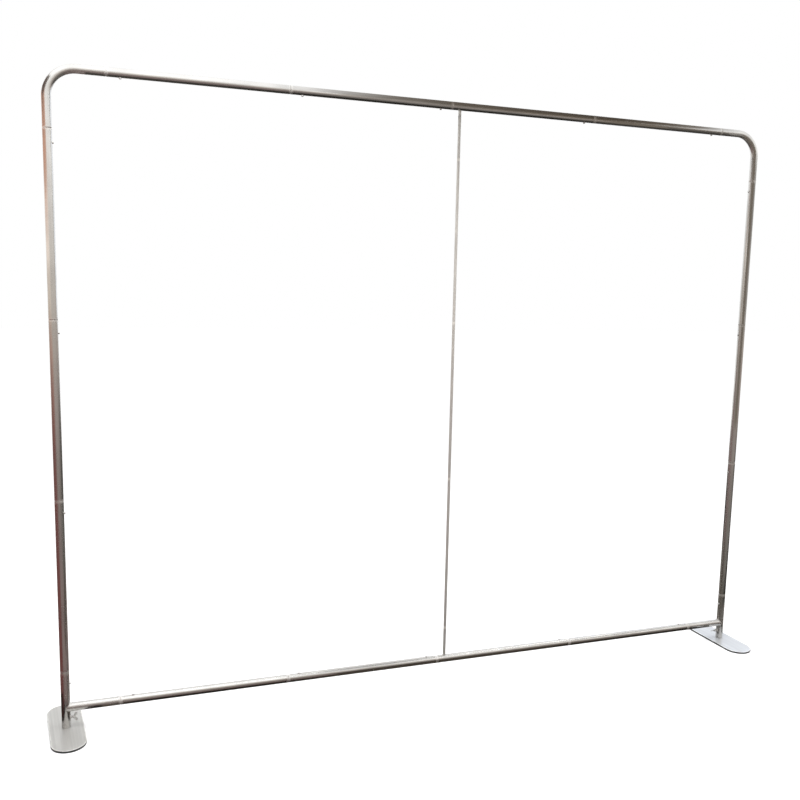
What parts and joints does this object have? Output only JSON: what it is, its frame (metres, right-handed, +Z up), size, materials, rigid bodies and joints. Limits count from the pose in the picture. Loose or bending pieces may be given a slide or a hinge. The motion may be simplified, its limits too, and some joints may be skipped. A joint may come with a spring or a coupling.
{
  "type": "backdrop display frame",
  "caption": "Free-standing frame of plug-together round aluminium tubes with rounded top corners, a thin centre pole and flat round-ended foot plates.",
  "frame": {"origin": "on the floor, midway between the two uprights' axes", "axes": "+X along the bars from the left upright to the right one as seen from the front, +Y away from the viewer, +Z up"},
  "size_m": [3.1607, 0.3678, 2.438],
  "materials": {
    "tube_aluminium": "satin, fine lengthwise brushing",
    "pole_aluminium": "satin",
    "boss_aluminium": "turned",
    "plate_steel": "satin",
    "pad_rubber": "matt",
    "spigot_steel": "turned",
    "zinc_steel": "zinc plated",
    "spring_steel": "satin"
  },
  "bodies": {
    "frame": {"left_upright_lower_tube": "tube_aluminium", "left_upright_middle_tube": "tube_aluminium", "left_upright_upper_tube": "tube_aluminium", "right_upright_lower_tube": "tube_aluminium", "right_upright_middle_tube": "tube_aluminium", "right_upright_upper_tube": "tube_aluminium", "top_bar_outer_left_tube": "tube_aluminium", "top_bar_inner_left_tube": "tube_aluminium", "top_bar_inner_right_tube": "tube_aluminium", "top_bar_outer_right_tube": "tube_aluminium", "bottom_bar_outer_left_tube": "tube_aluminium", "bottom_bar_inner_left_tube": "tube_aluminium", "bottom_bar_inner_right_tube": "tube_aluminium", "bottom_bar_outer_right_tube": "tube_aluminium", "left_top_corner_bend": "tube_aluminium", "right_top_corner_bend": "tube_aluminium", "left_foot_tee": "tube_aluminium", "right_foot_tee": "tube_aluminium", "left_threaded_boss": "boss_aluminium", "right_threaded_boss": "boss_aluminium", "centre_pole_tube_1": "pole_aluminium", "centre_pole_tube_2": "pole_aluminium", "centre_pole_tube_3": "pole_aluminium", "centre_pole_tube_4": "pole_aluminium", "centre_pole_top_plug": "pole_aluminium", "centre_pole_bottom_plug": "pole_aluminium", "centre_pole_ferrules": "pole_aluminium", "upright_button_springs": "spring_steel", "bar_button_springs": "spring_steel"},
    "left_foot": {"left_foot_plate": "plate_steel", "left_foot_pad": "pad_rubber", "left_foot_spigot": "spigot_steel", "left_spigot_screw": "zinc_steel"},
    "left_wing_bolt": {"left_wing_bolt": "zinc_steel"},
    "right_foot": {"right_foot_plate": "plate_steel", "right_foot_pad": "pad_rubber", "right_foot_spigot": "spigot_steel", "right_spigot_screw": "zinc_steel"},
    "right_wing_bolt": {"right_wing_bolt": "zinc_steel"},
    "bottom_bar_button_1": {"bottom_bar_button_1": "spring_steel"},
    "bottom_bar_button_2": {"bottom_bar_button_2": "spring_steel"},
    "bottom_bar_button_3": {"bottom_bar_button_3": "spring_steel"},
    "bottom_bar_button_4": {"bottom_bar_button_4": "spring_steel"},
    "bottom_bar_button_5": {"bottom_bar_button_5": "spring_steel"},
    "left_upright_button_1": {"left_upright_button_1": "spring_steel"},
    "left_upright_button_2": {"left_upright_button_2": "spring_steel"},
    "left_upright_button_3": {"left_upright_button_3": "spring_steel"},
    "left_upright_button_4": {"left_upright_button_4": "spring_steel"},
    "right_upright_button_1": {"right_upright_button_1": "spring_steel"},
    "right_upright_button_2": {"right_upright_button_2": "spring_steel"},
    "right_upright_button_3": {"right_upright_button_3": "spring_steel"},
    "right_upright_button_4": {"right_upright_button_4": "spring_steel"},
    "top_bar_button_1": {"top_bar_button_1": "spring_steel"},
    "top_bar_button_2": {"top_bar_button_2": "spring_steel"},
    "top_bar_button_3": {"top_bar_button_3": "spring_steel"},
    "top_bar_button_4": {"top_bar_button_4": "spring_steel"},
    "top_bar_button_5": {"top_bar_button_5": "spring_steel"}
  },
  "joints": [
    {"name": "left_foot_turn", "type": "hinge", "parent": "frame", "child": "left_foot", "pos_m": [-1.508, 0, 0.009], "axis": [0, 0, 1], "continuous": true},
    {"name": "left_wing_bolt_turn", "type": "hinge", "parent": "frame", "child": "left_wing_bolt", "pos_m": [-1.508, 0, 0.046], "axis": [1, 0, 0], "range_deg": [0, 720]},
    {"name": "right_foot_turn", "type": "hinge", "parent": "frame", "child": "right_foot", "pos_m": [1.508, 0, 0.009], "axis": [0, 0, 1], "continuous": true},
    {"name": "right_wing_bolt_turn", "type": "hinge", "parent": "frame", "child": "right_wing_bolt", "pos_m": [1.508, 0, 0.046], "axis": [-1, 0, 0], "range_deg": [0, 720]},
    {"name": "bottom_bar_button_1_press", "type": "slide", "parent": "frame", "child": "bottom_bar_button_1", "axis": [0, 0, -1], "range_m": [0, 0.00615], "stiffness_N_per_m": 1500, "springref_m": -0.004},
    {"name": "bottom_bar_button_2_press", "type": "slide", "parent": "frame", "child": "bottom_bar_button_2", "axis": [0, 0, -1], "range_m": [0, 0.00615], "stiffness_N_per_m": 1500, "springref_m": -0.004},
    {"name": "bottom_bar_button_3_press", "type": "slide", "parent": "frame", "child": "bottom_bar_button_3", "axis": [0, 0, -1], "range_m": [0, 0.00615], "stiffness_N_per_m": 1500, "springref_m": -0.004},
    {"name": "bottom_bar_button_4_press", "type": "slide", "parent": "frame", "child": "bottom_bar_button_4", "axis": [0, 0, -1], "range_m": [0, 0.00615], "stiffness_N_per_m": 1500, "springref_m": -0.004},
    {"name": "bottom_bar_button_5_press", "type": "slide", "parent": "frame", "child": "bottom_bar_button_5", "axis": [0, 0, -1], "range_m": [0, 0.00615], "stiffness_N_per_m": 1500, "springref_m": -0.004},
    {"name": "left_upright_button_1_press", "type": "slide", "parent": "frame", "child": "left_upright_button_1", "axis": [-1, 0, 0], "range_m": [0, 0.00615], "stiffness_N_per_m": 1500, "springref_m": -0.004},
    {"name": "left_upright_button_2_press", "type": "slide", "parent": "frame", "child": "left_upright_button_2", "axis": [-1, 0, 0], "range_m": [0, 0.00615], "stiffness_N_per_m": 1500, "springref_m": -0.004},
    {"name": "left_upright_button_3_press", "type": "slide", "parent": "frame", "child": "left_upright_button_3", "axis": [-1, 0, 0], "range_m": [0, 0.00615], "stiffness_N_per_m": 1500, "springref_m": -0.004},
    {"name": "left_upright_button_4_press", "type": "slide", "parent": "frame", "child": "left_upright_button_4", "axis": [-1, 0, 0], "range_m": [0, 0.00615], "stiffness_N_per_m": 1500, "springref_m": -0.004},
    {"name": "right_upright_button_1_press", "type": "slide", "parent": "frame", "child": "right_upright_button_1", "axis": [1, 0, 0], "range_m": [0, 0.00615], "stiffness_N_per_m": 1500, "springref_m": -0.004},
    {"name": "right_upright_button_2_press", "type": "slide", "parent": "frame", "child": "right_upright_button_2", "axis": [1, 0, 0], "range_m": [0, 0.00615], "stiffness_N_per_m": 1500, "springref_m": -0.004},
    {"name": "right_upright_button_3_press", "type": "slide", "parent": "frame", "child": "right_upright_button_3", "axis": [1, 0, 0], "range_m": [0, 0.00615], "stiffness_N_per_m": 1500, "springref_m": -0.004},
    {"name": "right_upright_button_4_press", "type": "slide", "parent": "frame", "child": "right_upright_button_4", "axis": [1, 0, 0], "range_m": [0, 0.00615], "stiffness_N_per_m": 1500, "springref_m": -0.004},
    {"name": "top_bar_button_1_press", "type": "slide", "parent": "frame", "child": "top_bar_button_1", "axis": [0, 0, 1], "range_m": [0, 0.00615], "stiffness_N_per_m": 1500, "springref_m": -0.004},
    {"name": "top_bar_button_2_press", "type": "slide", "parent": "frame", "child": "top_bar_button_2", "axis": [0, 0, 1], "range_m": [0, 0.00615], "stiffness_N_per_m": 1500, "springref_m": -0.004},
    {"name": "top_bar_button_3_press", "type": "slide", "parent": "frame", "child": "top_bar_button_3", "axis": [0, 0, 1], "range_m": [0, 0.00615], "stiffness_N_per_m": 1500, "springref_m": -0.004},
    {"name": "top_bar_button_4_press", "type": "slide", "parent": "frame", "child": "top_bar_button_4", "axis": [0, 0, 1], "range_m": [0, 0.00615], "stiffness_N_per_m": 1500, "springref_m": -0.004},
    {"name": "top_bar_button_5_press", "type": "slide", "parent": "frame", "child": "top_bar_button_5", "axis": [0, 0, 1], "range_m": [0, 0.00615], "stiffness_N_per_m": 1500, "springref_m": -0.004}
  ]
}
